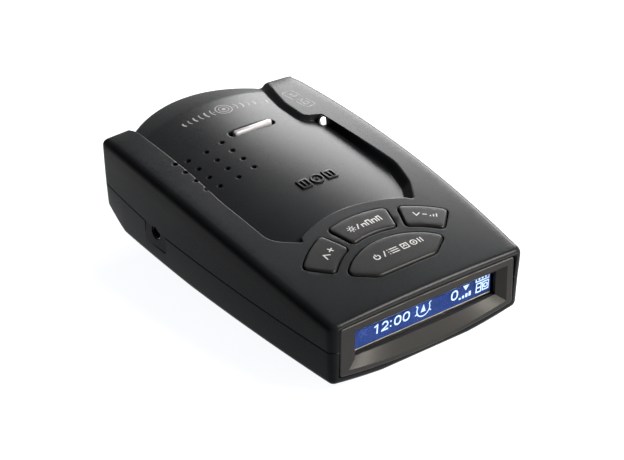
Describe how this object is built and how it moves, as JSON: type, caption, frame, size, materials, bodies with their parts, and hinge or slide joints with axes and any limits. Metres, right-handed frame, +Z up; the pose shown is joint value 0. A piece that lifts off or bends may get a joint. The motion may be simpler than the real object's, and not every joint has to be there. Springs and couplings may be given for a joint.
{
  "type": "radar detector",
  "caption": "Wedge-shaped dashboard radar detector with a front display window, a ring of top keys, speaker grid, alert light and sensor block.",
  "frame": {"origin": "centre of the outline on the plane that the underside rests on", "axes": "+X across the case to the driver's right when the display is read, +Y away from the driver towards the windscreen end, +Z up"},
  "size_m": [0.07, 0.113, 0.031],
  "materials": {
    "case": "fine moulded texture, satin black",
    "bezel": "fine moulded texture, slightly lighter black",
    "lens": "clear tinted acrylic",
    "display": "blue backlit display with pale symbols",
    "black_plastic": "moulded black plastic",
    "flex": "amber film with copper tracks",
    "key": "satin black with pale printed symbols",
    "circuit_board": "green solder mask",
    "steel": "zinc plated",
    "tinned_steel": "tinned sheet",
    "cast_metal": "die cast",
    "ceramic": "fired ceramic with a silver patch",
    "chip": "black moulded package",
    "can_metal": "sleeved aluminium can",
    "cone": "pressed film cone",
    "foam": "closed-cell foam",
    "contact_metal": "gold-flashed contact",
    "light_pipe": "diffusing light pipe with a silvery sheen",
    "led": "moulded lamp package",
    "clear_lens": "clear moulded lens",
    "infrared_window": "dark infrared-passing plastic",
    "label": "blank satin label"
  },
  "bodies": {
    "housing": {"top_shell": "case", "bottom_shell": "case", "front_bezel": "bezel", "display_lens": "lens", "display_panel": "display", "display_holder": "black_plastic", "display_flex": "flex", "tact_switches": "black_plastic", "key_board": "circuit_board", "key_board_screws": "steel", "main_board": "circuit_board", "board_screws": "steel", "horn_antenna": "cast_metal", "rf_can": "tinned_steel", "gps_patch": "ceramic", "gps_can": "tinned_steel", "processor": "chip", "capacitors": "can_metal", "backup_cell": "steel", "speaker_basket": "black_plastic", "speaker_cone": "cone", "speaker_magnet": "tinned_steel", "speaker_gasket": "foam", "speaker_contacts": "contact_metal", "light_bar": "light_pipe", "led_board": "circuit_board", "alert_leds": "led", "cabin_sensor_lens": "clear_lens", "road_sensor_lens": "infrared_window", "sensor_board": "circuit_board", "sensor_diode": "infrared_window", "power_jack": "black_plastic", "jack_ring": "contact_metal", "case_screws": "steel", "rating_plate": "label"},
    "up_key": {"up_button": "key", "up_plunger": "black_plastic"},
    "dim_key": {"dim_button": "key", "dim_plunger": "black_plastic"},
    "down_key": {"down_button": "key", "down_plunger": "black_plastic"},
    "power_key": {"power_button": "key", "power_plunger": "black_plastic"}
  },
  "joints": [
    {"name": "up_press", "type": "slide", "parent": "housing", "child": "up_key", "axis": [0, 0, -1], "range_m": [0, 0.0005], "stiffness_N_per_m": 1500, "springref_m": -0.0002},
    {"name": "dim_press", "type": "slide", "parent": "housing", "child": "dim_key", "axis": [0, 0, -1], "range_m": [0, 0.0005], "stiffness_N_per_m": 1500, "springref_m": -0.0002},
    {"name": "down_press", "type": "slide", "parent": "housing", "child": "down_key", "axis": [0, 0, -1], "range_m": [0, 0.0005], "stiffness_N_per_m": 1500, "springref_m": -0.0002},
    {"name": "power_press", "type": "slide", "parent": "housing", "child": "power_key", "axis": [0, 0, -1], "range_m": [0, 0.0005], "stiffness_N_per_m": 1500, "springref_m": -0.0002}
  ]
}
